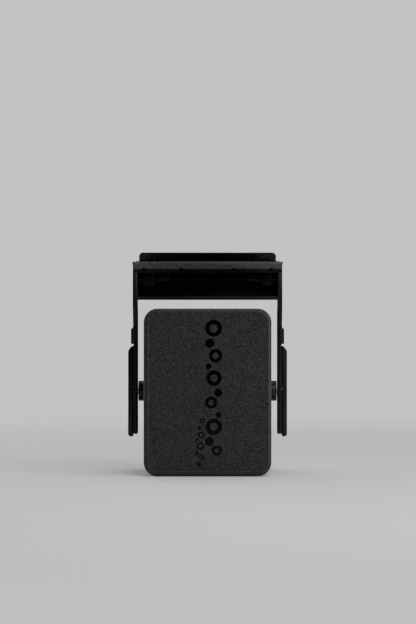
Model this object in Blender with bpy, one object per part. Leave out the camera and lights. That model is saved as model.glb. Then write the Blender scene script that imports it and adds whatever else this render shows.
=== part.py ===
"""Magnetic glass cleaner: a dry half, a floating wet half and a scraper yoke that tilts on the float.

Lengths are in metres and +Z is up. X runs across the cleaner and Y through the glass: the dry half
is on the -Y side, the wet half on the +Y side. The origin is the middle of the wet pad's face, the
face that lies on the glass. Both halves stand upright on their lower ends, pad to pad.
"""

import math

import bmesh
import bpy
from mathutils import Vector

# The two halves: plan size, walls and fits
BLOCK_WIDTH = 0.0825
BLOCK_HEIGHT = 0.108
CORNER_RADIUS = 0.009
EDGE_RADIUS = 0.0025
WALL = 0.0025
FIT_GAP = 0.0003
PAD_GAP = 0.0023
PAD_INSET = 0.0028
PAD_RADIUS = 0.0065
TAPE_INSET = 0.0042
TAPE_THICKNESS = 0.0006
PLATE_THICKNESS = 0.0025
SPIGOT_INSET = WALL + 0.0019
SPIGOT_HEIGHT = 0.002
SPIGOT_WALL = 0.0016
SMALL_RIM = 0.0006

# Depth of each half, from its own pad's face to its outer face
DRY_DEPTH = 0.0357
WET_DEPTH = 0.045
DRY_PAD_THICKNESS = 0.0025
WET_PAD_THICKNESS = 0.003

# Magnets, their cradle and the steel plate behind them
MAGNET_WIDTH = 0.058
MAGNET_HEIGHT = 0.024
MAGNET_PITCH = 0.026
DRY_MAGNET_THICKNESS = 0.010
WET_MAGNET_THICKNESS = 0.008
CRADLE_WIDTH = 0.064
CRADLE_HEIGHT = 0.056
CRADLE_THICKNESS = 0.006
INNER_CORNER = 0.003
MAGNET_CORNER = 0.0015
STEEL_WIDTH = 0.060
STEEL_HEIGHT = 0.052
STEEL_THICKNESS = 0.0018

# Seal ring between the float's shell and its base plate
SEAL_SECTION = 0.0013

# Pivot of the scraper yoke, on the float's sides
PIVOT_Y = 0.021
PIVOT_Z = -0.0009
HUB_RADIUS = 0.0068
HUB_END = 0.0460
PIN_RADIUS = 0.0023
PIN_HEAD_RADIUS = 0.0044
PIN_HEAD = 0.0013
BUSH_WALL = 0.0014
BUSH_SHORT = 0.0001
HUB_SOCKET_DEPTH = 0.0036
PIN_REACH = 0.0030
PIN_RIM = 0.0004

# Scraper yoke: side arms and the clips on their outer faces
ARM_INNER = 0.0465
ARM_OUTER = 0.0496
ARM_WIDTH = 0.016
ARM_END_BELOW_PIVOT = 0.0288
ARM_CORNER = 0.004
ARM_FRONT_LEAVES = 0.0440
ARM_FRONT_JOINS = 0.0560
ARM_FRONT_TOP = 0.0700
ARM_BACK_LEAVES = 0.0500
ARM_BACK_BEND_Y = 0.0250
ARM_BACK_BEND_Z = 0.0620
ARM_BACK_TOP = 0.0745
CHEEK_RIM = 0.0004
SHOULDER_OUTER = 0.0510
SHOULDER_LOW = 0.0300
SHOULDER_HIGH = 0.0417
CLIP_OUTER = 0.0529
CLIP_LENGTH = 0.0604
CLIP_PEG_SPACING = 0.038
CLIP_PEG_RADIUS = 0.0015
CLIP_CHAMFER_TOP = 0.0022
CLIP_CHAMFER_BOTTOM = 0.0012
CLIP_EDGE = 0.0007
ARM_REBATE = 0.0493

# Scraper yoke: the head between the arms
HEAD_BOTTOM = 0.0597
HEAD_FLOOR = 0.0617
HEAD_FRONT = 0.0055
HEAD_BACK_INNER = 0.0155
HEAD_BACK_OUTER = 0.0180
HEAD_CEILING = 0.0736
# Each catch housing of the recess: inner side, outer side, lowest point and front
CATCH_HOUSINGS = (
    (0.0252, 0.0354, 0.0718, 0.0106),
    (0.0360, 0.0422, 0.0692, 0.0094),
)
# The small window in each inner housing
WINDOW_INNER = 0.0310
WINDOW_OUTER = 0.0334
WINDOW_LOW = 0.0741
WINDOW_HIGH = 0.0756

# Blade and its clamp, in the blade's own slope
BLADE_TIP_Y = 0.0003
BLADE_TIP_Z = 0.0907
BLADE_TILT = math.radians(38)
BLADE_WIDTH = 0.0905
BLADE_HEIGHT = 0.0115
BLADE_THICKNESS = 0.0012
BLADE_CORNER = 0.0020
PEG_X = 0.030
PEG_RADIUS = 0.00125
PEG_DOWN = 0.0094
PEG_TOP = 0.0016
SLOT_WIDTH = 0.0031
SLOT_TOP = 0.0078
CLAMP_TOP = 0.0064
CLAMP_BOTTOM = 0.0115
CLAMP_THICKNESS = 0.0015
CLAMP_HALF_TOP = 0.0499
CLAMP_HALF_BOTTOM = 0.0490
CLAMP_EAR = 0.0006
NOTCH_X = (-0.0420, -0.0175, 0.0175, 0.0420)
NOTCH_RADIUS = 0.0014
NOTCH_DOWN = 0.0117
SEAT_TOP = 0.0078
SEAT_BACK = -0.0035
SEAT_CHAMFER = 0.0018
LIP_TOP = 0.0119
LIP_BOTTOM = 0.0149
LIP_PROUD = 0.0021

ROUND_STEPS = 20
POST_STEPS = 12
TOOL_MARGIN = 0.001
OVERLAP = 0.001
SIDES = {"left": -1, "right": 1}

SEAT_LEVEL = -BLADE_THICKNESS / 2 - FIT_GAP
CLAMP_LEVEL = BLADE_THICKNESS / 2 + FIT_GAP

# Colour, roughness and metallic value of each material
FINISHES = {
    "dry_case_plastic": ((0.022, 0.023, 0.025), 0.50, 0.0),
    "float_case_plastic": ((0.012, 0.012, 0.013), 0.45, 0.0),
    "base_plastic": ((0.015, 0.015, 0.016), 0.50, 0.0),
    "cradle_plastic": ((0.060, 0.062, 0.065), 0.60, 0.0),
    "ferrite": ((0.035, 0.034, 0.034), 0.65, 0.3),
    "zinc_steel": ((0.55, 0.56, 0.58), 0.35, 1.0),
    "pad_tape": ((0.70, 0.68, 0.60), 0.70, 0.0),
    "felt": ((0.028, 0.028, 0.030), 0.95, 0.0),
    "scrub_fibre": ((0.020, 0.021, 0.022), 0.85, 0.0),
    "seal_rubber": ((0.010, 0.010, 0.010), 0.70, 0.0),
    "pin_steel": ((0.60, 0.60, 0.61), 0.25, 1.0),
    "bush_acetal": ((0.75, 0.75, 0.72), 0.40, 0.0),
    "yoke_plastic": ((0.014, 0.015, 0.017), 0.40, 0.0),
    "clip_plastic": ((0.009, 0.009, 0.010), 0.35, 0.0),
    "clamp_plastic": ((0.030, 0.030, 0.031), 0.50, 0.0),
    "blade_plastic": ((0.004, 0.004, 0.005), 0.22, 0.0),
}


def clear_objects():
    """Remove every object, so that the model starts from an empty scene."""
    for old in list(bpy.data.objects):
        bpy.data.objects.remove(old, do_unlink=True)


def finish_of(slot):
    """The Principled material of a finish, made the first time it is asked for."""
    material = bpy.data.materials.get(slot) or bpy.data.materials.new(slot)
    colour, roughness, metallic = FINISHES[slot]
    material.use_nodes = True
    shader = material.node_tree.nodes["Principled BSDF"]
    shader.inputs["Base Color"].default_value = (*colour, 1.0)
    shader.inputs["Roughness"].default_value = roughness
    shader.inputs["Metallic"].default_value = metallic
    return material


def make_object(name, bm, slot, origin=(0.0, 0.0, 0.0)):
    """Turn a bmesh in world coordinates into a named object with its origin at a given point."""
    bmesh.ops.recalc_face_normals(bm, faces=bm.faces)
    bmesh.ops.translate(bm, vec=-Vector(origin), verts=bm.verts)
    mesh = bpy.data.meshes.new(name)
    bm.to_mesh(mesh)
    bm.free()
    mesh.shade_smooth()
    mesh.set_sharp_from_angle(angle=math.radians(35))
    mesh.materials.append(finish_of(slot))
    piece = bpy.data.objects.new(name, mesh)
    piece.location = origin
    bpy.context.scene.collection.objects.link(piece)
    return piece


def make_tool(name, bm, slot="cradle_plastic"):
    """A helper solid that only adds to or cuts from other pieces."""
    tool = make_object(name, bm, slot)
    tool.hide_render = True
    tool.display_type = "WIRE"
    return tool


def combine(piece, tool, operation):
    """Join a helper solid to a piece, or cut it away, with an exact Boolean."""
    step = piece.modifiers.new(f"{operation.lower()}_{tool.name}", "BOOLEAN")
    step.operation = operation
    step.solver = "EXACT"
    step.object = tool


def rounded_rectangle(width, height, radius, steps=6):
    """Outline of a rounded rectangle about the origin, anticlockwise."""
    outline = []
    for quarter, (side_u, side_v) in enumerate(((1, 1), (-1, 1), (-1, -1), (1, -1))):
        centre_u = side_u * (width / 2 - radius)
        centre_v = side_v * (height / 2 - radius)
        for step in range(steps + 1):
            angle = math.radians(90) * (quarter + step / steps)
            point = (centre_u + radius * math.cos(angle), centre_v + radius * math.sin(angle))
            outline.append(point)
    return outline


def add_outline(bm, outline, place):
    """Add a flat face whose corners are the outline's points, placed in space by place(u, v)."""
    return bm.faces.new([bm.verts.new(place(u, v)) for u, v in outline])


def sweep(bm, face, offset):
    """Extrude a lone face into a solid and return its far face."""
    swept = bmesh.ops.extrude_face_region(bm, geom=[face])["geom"]
    corners = [item for item in swept if isinstance(item, bmesh.types.BMVert)]
    bmesh.ops.translate(bm, vec=offset, verts=corners)
    return [item for item in swept if isinstance(item, bmesh.types.BMFace)][0]


def push(bm, face, offset):
    """Extrude one face of a solid, inwards or outwards, and return the moved face."""
    moved = bmesh.ops.extrude_discrete_faces(bm, faces=[face])["faces"][0]
    bmesh.ops.translate(bm, vec=offset, verts=moved.verts)
    return moved


def inset(bm, face, thickness):
    """Inset one face; the same face is then the inner one."""
    bmesh.ops.inset_individual(bm, faces=[face], thickness=thickness, use_even_offset=True)
    return face


def round_rim(bm, face, radius, steps=3):
    """Round the edges all round one face."""
    bmesh.ops.bevel(
        bm, geom=list(face.edges), offset=radius, segments=steps, profile=0.5, affect="EDGES")


def block_outline(shrink=0.0, radius=CORNER_RADIUS):
    """Plan outline of a half, or of a layer that is set in from its edge."""
    return rounded_rectangle(BLOCK_WIDTH - 2 * shrink, BLOCK_HEIGHT - 2 * shrink, radius)


def slab(bm, outline, near, far, middle=(0.0, 0.0)):
    """Sweep an X-Z outline along Y; returns the near face and the far face."""
    def place(u, v):
        return (middle[0] + u, near, middle[1] + v)
    start = add_outline(bm, outline, place)
    end = sweep(bm, start, Vector((0, far - near, 0)))
    return start, end


def layer(name, slot, shrink, radius, near, far, rim=0.0):
    """A flat layer such as a pad or its tape; the near face can have a small rounded rim."""
    bm = bmesh.new()
    near_face = slab(bm, block_outline(shrink, radius), near, far)[0]
    if rim:
        round_rim(bm, near_face, rim, steps=2)
    return make_object(name, bm, slot)


def shell(name, slot, open_y, closed_y):
    """A cup with an even wall, open towards the pad and rounded round its closed face."""
    inwards = math.copysign(1.0, closed_y - open_y)
    bm = bmesh.new()
    start, end = slab(bm, block_outline(), open_y, closed_y)
    mouth = inset(bm, start, WALL)
    push(bm, mouth, Vector((0, closed_y - open_y - inwards * WALL, 0)))
    round_rim(bm, end, EDGE_RADIUS, steps=4)
    return make_object(name, bm, slot)


def base_plate(name, slot, pad_y, inner_y):
    """The plate that closes a shell, with a low ring that locates it inside the shell's wall."""
    inwards = math.copysign(1.0, inner_y - pad_y)
    bm = bmesh.new()
    start, end = slab(bm, block_outline(), pad_y, inner_y)
    rise = Vector((0, inwards * SPIGOT_HEIGHT, 0))
    ring = push(bm, inset(bm, end, SPIGOT_INSET), rise)
    push(bm, inset(bm, ring, SPIGOT_WALL), -rise)
    round_rim(bm, start, SMALL_RIM, steps=2)
    return make_object(name, bm, slot)


def magnet(name, near, far, level):
    """A ferrite bar with broken edges."""
    bm = bmesh.new()
    outline = rounded_rectangle(MAGNET_WIDTH, MAGNET_HEIGHT, MAGNET_CORNER, steps=2)
    slab(bm, outline, near, far, middle=(0.0, level))
    return make_object(name, bm, "ferrite")


def cradle(name, near, far):
    """A moulded frame with one window for each magnet."""
    bm = bmesh.new()
    slab(bm, rounded_rectangle(CRADLE_WIDTH, CRADLE_HEIGHT, INNER_CORNER, steps=3), near, far)
    frame = make_object(name, bm, "cradle_plastic")
    windows = bmesh.new()
    margin = TOOL_MARGIN * math.copysign(1.0, far - near)
    for level in (-MAGNET_PITCH / 2, MAGNET_PITCH / 2):
        outline = rounded_rectangle(
            MAGNET_WIDTH + 2 * FIT_GAP, MAGNET_HEIGHT + 2 * FIT_GAP, MAGNET_CORNER, steps=2)
        slab(windows, outline, near - margin, far + margin, middle=(0.0, level))
    combine(frame, make_tool(f"{name}_windows", windows), "DIFFERENCE")
    return frame


def steel_plate(name, near, far):
    """The zinc-plated plate that closes the magnets' field at the back."""
    bm = bmesh.new()
    slab(bm, rounded_rectangle(STEEL_WIDTH, STEEL_HEIGHT, INNER_CORNER, steps=3), near, far)
    return make_object(name, bm, "zinc_steel")


def seal_ring(name, near):
    """The square-section rubber ring between a shell's wall and its base plate's ring."""
    outer = WALL + FIT_GAP
    bm = bmesh.new()
    slab(bm, block_outline(outer, CORNER_RADIUS - outer), near, near + SEAL_SECTION)
    ring = make_object(name, bm, "seal_rubber")
    middle = bmesh.new()
    inner = outer + SEAL_SECTION
    slab(middle, block_outline(inner, CORNER_RADIUS - inner),
         near - TOOL_MARGIN, near + SEAL_SECTION + TOOL_MARGIN)
    combine(ring, make_tool(f"{name}_middle", middle), "DIFFERENCE")
    return ring


def half(prefix, side, pad_face, pad_thickness, magnet_thickness, depth, slots):
    """One half of the cleaner, from its pad's face outwards along side (-1 or +1)."""
    def at(distance):
        return pad_face + side * distance
    pad_end = pad_thickness
    tape_start = pad_end + FIT_GAP
    plate_start = tape_start + TAPE_THICKNESS + FIT_GAP
    shell_start = plate_start + PLATE_THICKNESS + FIT_GAP
    magnet_end = shell_start + magnet_thickness
    steel_start = magnet_end + FIT_GAP
    layer(slots["pad_name"], slots["pad"], PAD_INSET, PAD_RADIUS, at(0), at(pad_end), rim=SMALL_RIM)
    layer(f"{prefix}_pad_tape", "pad_tape", TAPE_INSET, PAD_RADIUS - 0.001,
          at(tape_start), at(tape_start + TAPE_THICKNESS))
    base_plate(f"{prefix}_base_plate", "base_plastic",
               at(plate_start), at(plate_start + PLATE_THICKNESS))
    shell(f"{prefix}_shell", slots["case"], at(shell_start), at(depth))
    for word, level in (("lower", -MAGNET_PITCH / 2), ("upper", MAGNET_PITCH / 2)):
        magnet(f"{prefix}_magnet_{word}", at(shell_start), at(magnet_end), level)
    cradle(f"{prefix}_magnet_cradle", at(shell_start), at(shell_start + CRADLE_THICKNESS))
    steel_plate(f"{prefix}_yoke_plate", at(steel_start), at(steel_start + STEEL_THICKNESS))
    return at(shell_start)


def disc(bm, radius, start_x, end_x, y, z):
    """Sweep a circle along X; returns its start face and its end face."""
    turn = 2 * math.pi / ROUND_STEPS
    outline = [(radius * math.cos(turn * k), radius * math.sin(turn * k)) for k in range(ROUND_STEPS)]

    def place(u, v):
        return (start_x, y + u, z + v)
    start = add_outline(bm, outline, place)
    end = sweep(bm, start, Vector((end_x - start_x, 0, 0)))
    return start, end


def pivot_hub(name, side):
    """The round boss on the float's side, with a blind socket for the pivot pin."""
    start_x = side * (BLOCK_WIDTH / 2 + FIT_GAP)
    end_x = side * HUB_END
    bm = bmesh.new()
    end = disc(bm, HUB_RADIUS, start_x, end_x, PIVOT_Y, PIVOT_Z)[1]
    socket = inset(bm, end, HUB_RADIUS - PIN_RADIUS - FIT_GAP)
    push(bm, socket, Vector((side * -HUB_SOCKET_DEPTH, 0, 0)))
    return make_object(name, bm, "float_case_plastic", origin=(start_x, PIVOT_Y, PIVOT_Z))


def pivot_pin(name, side):
    """A headed pin, pushed through the arm into the hub."""
    head_in = side * (ARM_REBATE + FIT_GAP)
    head_out = side * (ARM_REBATE + FIT_GAP + PIN_HEAD)
    tip = side * (HUB_END - PIN_REACH)
    bm = bmesh.new()
    start, end = disc(bm, PIN_HEAD_RADIUS, head_out, head_in, PIVOT_Y, PIVOT_Z)
    shank = inset(bm, end, PIN_HEAD_RADIUS - PIN_RADIUS)
    push(bm, shank, Vector((tip - head_in, 0, 0)))
    round_rim(bm, start, PIN_RIM, steps=2)
    return make_object(name, bm, "pin_steel", origin=(head_out, PIVOT_Y, PIVOT_Z))


def pivot_bush(name, side):
    """The plain bush in the arm, which turns on the pin."""
    start_x = side * (ARM_INNER + FIT_GAP)
    end_x = side * (ARM_REBATE - BUSH_SHORT)
    bm = bmesh.new()
    disc(bm, PIN_RADIUS + FIT_GAP + BUSH_WALL, start_x, end_x, PIVOT_Y, PIVOT_Z)
    bush = make_object(name, bm, "bush_acetal")
    bore = bmesh.new()
    margin = side * TOOL_MARGIN
    disc(bore, PIN_RADIUS + FIT_GAP, start_x - margin, end_x + margin, PIVOT_Y, PIVOT_Z)
    combine(bush, make_tool(f"{name}_bore", bore), "DIFFERENCE")
    return bush


def blade_point(down, proud):
    """Y and Z of a point in the blade's slope: distance down from the tip, and towards the glass."""
    y = BLADE_TIP_Y + down * math.sin(BLADE_TILT) - proud * math.cos(BLADE_TILT)
    z = BLADE_TIP_Z - down * math.cos(BLADE_TILT) - proud * math.sin(BLADE_TILT)
    return y, z


def head_profile():
    """Y-Z section of the yoke's head: blade seat, lip, back wall and floor of the recess."""
    meets_back = (HEAD_BACK_OUTER - BLADE_TIP_Y + SEAT_BACK * math.cos(BLADE_TILT))
    meets_back /= math.sin(BLADE_TILT)
    return [
        blade_point(SEAT_TOP, SEAT_LEVEL),
        blade_point(LIP_TOP, SEAT_LEVEL),
        blade_point(LIP_TOP, LIP_PROUD),
        blade_point(LIP_BOTTOM, LIP_PROUD),
        (HEAD_BACK_INNER, HEAD_CEILING),
        (HEAD_BACK_INNER, HEAD_FLOOR),
        (HEAD_FRONT, HEAD_FLOOR),
        (HEAD_FRONT, HEAD_BOTTOM),
        (HEAD_BACK_OUTER, HEAD_BOTTOM),
        blade_point(meets_back, SEAT_BACK),
        blade_point(SEAT_TOP + SEAT_CHAMFER, SEAT_BACK),
        blade_point(SEAT_TOP, SEAT_BACK + SEAT_CHAMFER),
    ]


def arm_profile():
    """Y-Z outline of a side arm, from its round lower end up to the end of the blade seat."""
    front, back = PIVOT_Y - ARM_WIDTH / 2, PIVOT_Y + ARM_WIDTH / 2
    centre_z = PIVOT_Z - ARM_END_BELOW_PIVOT + ARM_CORNER
    outline = []
    for centre_y, turn in ((back - ARM_CORNER, 0), (front + ARM_CORNER, -90)):
        for step in range(5):
            angle = math.radians(turn - 90 * step / 4)
            outline.append((centre_y + ARM_CORNER * math.cos(angle),
                            centre_z + ARM_CORNER * math.sin(angle)))
    outline += [
        (front, ARM_FRONT_LEAVES),
        (HEAD_FRONT, ARM_FRONT_JOINS),
        (HEAD_FRONT, ARM_FRONT_TOP),
        blade_point(LIP_BOTTOM, LIP_PROUD),
        blade_point(LIP_TOP, LIP_PROUD),
        blade_point(LIP_TOP, CLAMP_LEVEL - FIT_GAP),
        blade_point(SEAT_TOP + OVERLAP, CLAMP_LEVEL - FIT_GAP),
        blade_point(SEAT_TOP + OVERLAP, SEAT_BACK + SEAT_CHAMFER + OVERLAP),
        blade_point(SEAT_TOP + SEAT_CHAMFER, SEAT_BACK),
        (HEAD_BACK_OUTER, ARM_BACK_TOP),
        (ARM_BACK_BEND_Y, ARM_BACK_BEND_Z),
        (back, ARM_BACK_LEAVES),
    ]
    return outline


def side_solid(bm, outline, start_x, end_x, rim=0.0):
    """Sweep a Y-Z outline along X, with its end rim rounded where asked."""
    def place(u, v):
        return (start_x, u, v)
    end = sweep(bm, add_outline(bm, outline, place), Vector((end_x - start_x, 0, 0)))
    if rim:
        round_rim(bm, end, rim, steps=2)


def slope_post(bm, x, radius, down, low, high):
    """A round post that stands square on the blade seat, or the hole for one."""
    turn = 2 * math.pi / POST_STEPS
    outline = [(radius * math.cos(turn * k), radius * math.sin(turn * k)) for k in range(POST_STEPS)]

    def place(u, v):
        return (x + u, *blade_point(down + v, low))
    face = add_outline(bm, outline, place)
    sweep(bm, face, Vector((0, *blade_point(0, high))) - Vector((0, *blade_point(0, low))))


def yoke_arms():
    """Both side arms, at the thickness that they have under the clips."""
    bm = bmesh.new()
    for side in SIDES.values():
        side_solid(bm, arm_profile(), side * ARM_INNER, side * ARM_REBATE)
    return make_tool("yoke_arms", bm)


def yoke_cheeks():
    """The arms' thicker upper part, flush with the head's ends."""
    bm = bmesh.new()
    upper = [point for point in arm_profile() if point[1] > SHOULDER_HIGH]
    front, back = PIVOT_Y - ARM_WIDTH / 2, PIVOT_Y + ARM_WIDTH / 2
    outline = upper + [(back, SHOULDER_LOW), (front, SHOULDER_LOW)]
    for side in SIDES.values():
        side_solid(bm, outline, side * (ARM_INNER + OVERLAP), side * ARM_OUTER, rim=CHEEK_RIM)
    return make_tool("yoke_cheeks", bm)


def yoke_shoulders():
    """A chamfered pad on each arm, just above its clip."""
    bm = bmesh.new()
    front = PIVOT_Y - ARM_WIDTH / 2 + CHEEK_RIM
    depth = ARM_WIDTH - 2 * CHEEK_RIM
    proud = SHOULDER_OUTER - ARM_OUTER
    section = [
        (ARM_INNER + OVERLAP, SHOULDER_LOW + CHEEK_RIM),
        (SHOULDER_OUTER, SHOULDER_LOW + CHEEK_RIM),
        (SHOULDER_OUTER, SHOULDER_HIGH - proud),
        (ARM_OUTER - CHEEK_RIM, SHOULDER_HIGH + CHEEK_RIM),
        (ARM_INNER + OVERLAP, SHOULDER_HIGH + CHEEK_RIM),
    ]
    for side in SIDES.values():
        def place(u, v, side=side):
            return (side * u, front, v)
        sweep(bm, add_outline(bm, section, place), Vector((0, depth, 0)))
    return make_tool("yoke_shoulders", bm)


def recess_ceiling(y):
    """Height of the recess's sloped ceiling, a little inside its material."""
    lip_y, lip_z = blade_point(LIP_BOTTOM, LIP_PROUD)
    fall = (lip_z - HEAD_CEILING) / (HEAD_BACK_INNER - lip_y)
    return lip_z - (y - lip_y) * fall + OVERLAP


def catch_housings():
    """The housings for the clamp's catches, which hang from the ceiling of the recess."""
    bm = bmesh.new()
    back = HEAD_BACK_INNER + OVERLAP
    for inner, outer, low, front in CATCH_HOUSINGS:
        outline = [(front, low), (back, low), (back, recess_ceiling(back)),
                   (front, recess_ceiling(front))]
        for side in SIDES.values():
            side_solid(bm, outline, side * inner, side * outer)
    return make_tool("catch_housings", bm)


def housing_windows():
    """The small square window in the front of each inner housing."""
    bm = bmesh.new()
    front = CATCH_HOUSINGS[0][3]
    outline = [(front - OVERLAP, WINDOW_LOW), (front + 2 * OVERLAP, WINDOW_LOW),
               (front + 2 * OVERLAP, WINDOW_HIGH), (front - OVERLAP, WINDOW_HIGH)]
    for side in SIDES.values():
        side_solid(bm, outline, side * WINDOW_INNER, side * WINDOW_OUTER)
    return make_tool("housing_windows", bm)


def lip_notches():
    """The lower halves of the round notches, in the lip below the clamp."""
    bm = bmesh.new()
    for x in NOTCH_X:
        slope_post(bm, x, NOTCH_RADIUS, NOTCH_DOWN, LIP_PROUD - OVERLAP, LIP_PROUD + OVERLAP)
    return make_tool("lip_notches", bm)


def yoke_pegs():
    """The two pegs on the blade seat that locate the blade and the clamp."""
    bm = bmesh.new()
    for side in SIDES.values():
        slope_post(bm, side * PEG_X, PEG_RADIUS, PEG_DOWN, SEAT_LEVEL - OVERLAP, PEG_TOP)
    return make_tool("yoke_pegs", bm)


def yoke_holes():
    """The bush bore and the two clip holes through each arm."""
    bm = bmesh.new()
    bush_radius = PIN_RADIUS + FIT_GAP + BUSH_WALL + FIT_GAP
    for side in SIDES.values():
        near, far = side * (ARM_INNER - TOOL_MARGIN), side * (ARM_REBATE + TOOL_MARGIN)
        disc(bm, bush_radius, near, far, PIVOT_Y, PIVOT_Z)
        for step in (-1, 1):
            disc(bm, CLIP_PEG_RADIUS + FIT_GAP, near, far,
                 PIVOT_Y, PIVOT_Z + step * CLIP_PEG_SPACING / 2)
    return make_tool("yoke_holes", bm)


def scraper_frame():
    """The yoke: a recessed head with the blade seat, between two side arms."""
    bm = bmesh.new()
    reach = ARM_INNER + OVERLAP
    side_solid(bm, head_profile(), -reach, reach)
    frame = make_object("scraper_frame", bm, "yoke_plastic")
    for tool in (yoke_arms(), yoke_cheeks(), yoke_shoulders(), catch_housings(), yoke_pegs()):
        combine(frame, tool, "UNION")
    for tool in (yoke_holes(), housing_windows(), lip_notches()):
        combine(frame, tool, "DIFFERENCE")
    return frame


def side_clip(name, side):
    """The bar that snaps over the pivot on the arm's outer face, with chamfered ends."""
    inner, outer = ARM_REBATE + FIT_GAP, CLIP_OUTER
    low, high = PIVOT_Z - CLIP_LENGTH / 2, PIVOT_Z + CLIP_LENGTH / 2 - FIT_GAP
    section = [
        (inner, low),
        (outer - CLIP_CHAMFER_BOTTOM, low),
        (outer, low + CLIP_CHAMFER_BOTTOM),
        (outer, high - CLIP_CHAMFER_TOP * 1.35),
        (outer - CLIP_CHAMFER_TOP, high),
        (inner, high),
    ]
    front = PIVOT_Y - ARM_WIDTH / 2
    bm = bmesh.new()

    def place(u, v):
        return (side * u, front, v)
    start = add_outline(bm, section, place)
    end = sweep(bm, start, Vector((0, ARM_WIDTH, 0)))
    for face in (start, end):
        rim = [edge for edge in face.edges
               if min(abs(vert.co.x) for vert in edge.verts) > inner + FIT_GAP / 2]
        bmesh.ops.bevel(bm, geom=rim, offset=CLIP_EDGE, segments=2, profile=0.5, affect="EDGES")
    clip = make_object(name, bm, "clip_plastic")
    pegs = bmesh.new()
    for step in (-1, 1):
        disc(pegs, CLIP_PEG_RADIUS, side * (ARM_INNER + CLIP_EDGE), side * (inner + OVERLAP),
             PIVOT_Y, PIVOT_Z + step * CLIP_PEG_SPACING / 2)
    combine(clip, make_tool(f"{name}_pegs", pegs), "UNION")
    room = bmesh.new()
    disc(room, PIN_HEAD_RADIUS + FIT_GAP, side * (inner - TOOL_MARGIN),
         side * (inner + PIN_HEAD + FIT_GAP), PIVOT_Y, PIVOT_Z)
    combine(clip, make_tool(f"{name}_room", room), "DIFFERENCE")
    return clip


def blade_clamp():
    """The strip that presses the blade on its seat, with round notches in its lower edge."""
    ear_end = CLAMP_TOP + CLAMP_EAR
    outline = [(CLAMP_HALF_BOTTOM, CLAMP_BOTTOM), (CLAMP_HALF_BOTTOM, ear_end + CLAMP_EAR),
               (CLAMP_HALF_TOP, ear_end), (CLAMP_HALF_TOP, CLAMP_TOP)]
    outline += [(-x, down) for x, down in reversed(outline)]
    depth = NOTCH_DOWN - CLAMP_BOTTOM
    spread = math.asin(depth / NOTCH_RADIUS)
    for x in NOTCH_X:
        for step in range(POST_STEPS // 2 + 1):
            share = step / (POST_STEPS // 2)
            angle = math.pi - spread - share * (math.pi - 2 * spread)
            outline.append((x + NOTCH_RADIUS * math.cos(angle),
                            NOTCH_DOWN - NOTCH_RADIUS * math.sin(angle)))
    bm = bmesh.new()

    def place(u, v):
        return (u, *blade_point(v, CLAMP_LEVEL))
    rise = Vector((0, *blade_point(0, CLAMP_THICKNESS))) - Vector((0, *blade_point(0, 0)))
    sweep(bm, add_outline(bm, outline, place), rise)
    clamp = make_object("blade_clamp", bm, "clamp_plastic")
    sockets = bmesh.new()
    for side in SIDES.values():
        slope_post(sockets, side * PEG_X, PEG_RADIUS + FIT_GAP, PEG_DOWN,
                   CLAMP_LEVEL - TOOL_MARGIN, PEG_TOP + FIT_GAP)
    combine(clamp, make_tool("clamp_sockets", sockets), "DIFFERENCE")
    return clamp


def scraper_blade():
    """The plastic blade: round outer corners and two open slots for the pegs."""
    half_width = BLADE_WIDTH / 2
    outline = []
    for side, turns in ((-1, (0, 1, 2, 3, 4)), (1, (4, 3, 2, 1, 0))):
        for turn in turns:
            angle = math.radians(90 * turn / 4)
            outline.append((side * (half_width - BLADE_CORNER + BLADE_CORNER * math.cos(angle)),
                            BLADE_CORNER - BLADE_CORNER * math.sin(angle)))
    outline.append((half_width, BLADE_HEIGHT))
    for middle in (PEG_X, -PEG_X):
        right, left = middle + SLOT_WIDTH / 2, middle - SLOT_WIDTH / 2
        outline += [(right, BLADE_HEIGHT), (right, SLOT_TOP), (left, SLOT_TOP), (left, BLADE_HEIGHT)]
    outline.append((-half_width, BLADE_HEIGHT))
    bm = bmesh.new()

    def place(u, v):
        return (u, *blade_point(v, -BLADE_THICKNESS / 2))
    rise = Vector((0, *blade_point(0, BLADE_THICKNESS))) - Vector((0, *blade_point(0, 0)))
    sweep(bm, add_outline(bm, outline, place), rise)
    return make_object("scraper_blade", bm, "blade_plastic")


def main():
    clear_objects()
    half("dry", -1, -PAD_GAP, DRY_PAD_THICKNESS, DRY_MAGNET_THICKNESS, DRY_DEPTH,
         {"pad_name": "dry_felt_pad", "pad": "felt", "case": "dry_case_plastic"})
    shell_mouth = half("wet", 1, 0.0, WET_PAD_THICKNESS, WET_MAGNET_THICKNESS, WET_DEPTH,
                       {"pad_name": "wet_scrub_pad", "pad": "scrub_fibre",
                        "case": "float_case_plastic"})
    seal_ring("wet_seal_gasket", shell_mouth)
    for word, side in SIDES.items():
        pivot_hub(f"pivot_hub_{word}", side)
        pivot_pin(f"pivot_pin_{word}", side)
        pivot_bush(f"pivot_bush_{word}", side)
        side_clip(f"side_clip_{word}", side)
    scraper_frame()
    blade_clamp()
    scraper_blade()


main()
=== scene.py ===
# %% [markdown]
# # A magnetic glass cleaner
# The cleaner is two blocks that hold each other through a pane of glass. The dry half carries felt,
# the wet half floats and carries a coarse scrub pad, and a yoke on the float's sides holds a blade.
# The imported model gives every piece's place, so it is loaded first and never moved.

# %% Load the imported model
import math
import random

import bmesh
import bpy
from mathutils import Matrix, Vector, noise


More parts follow.
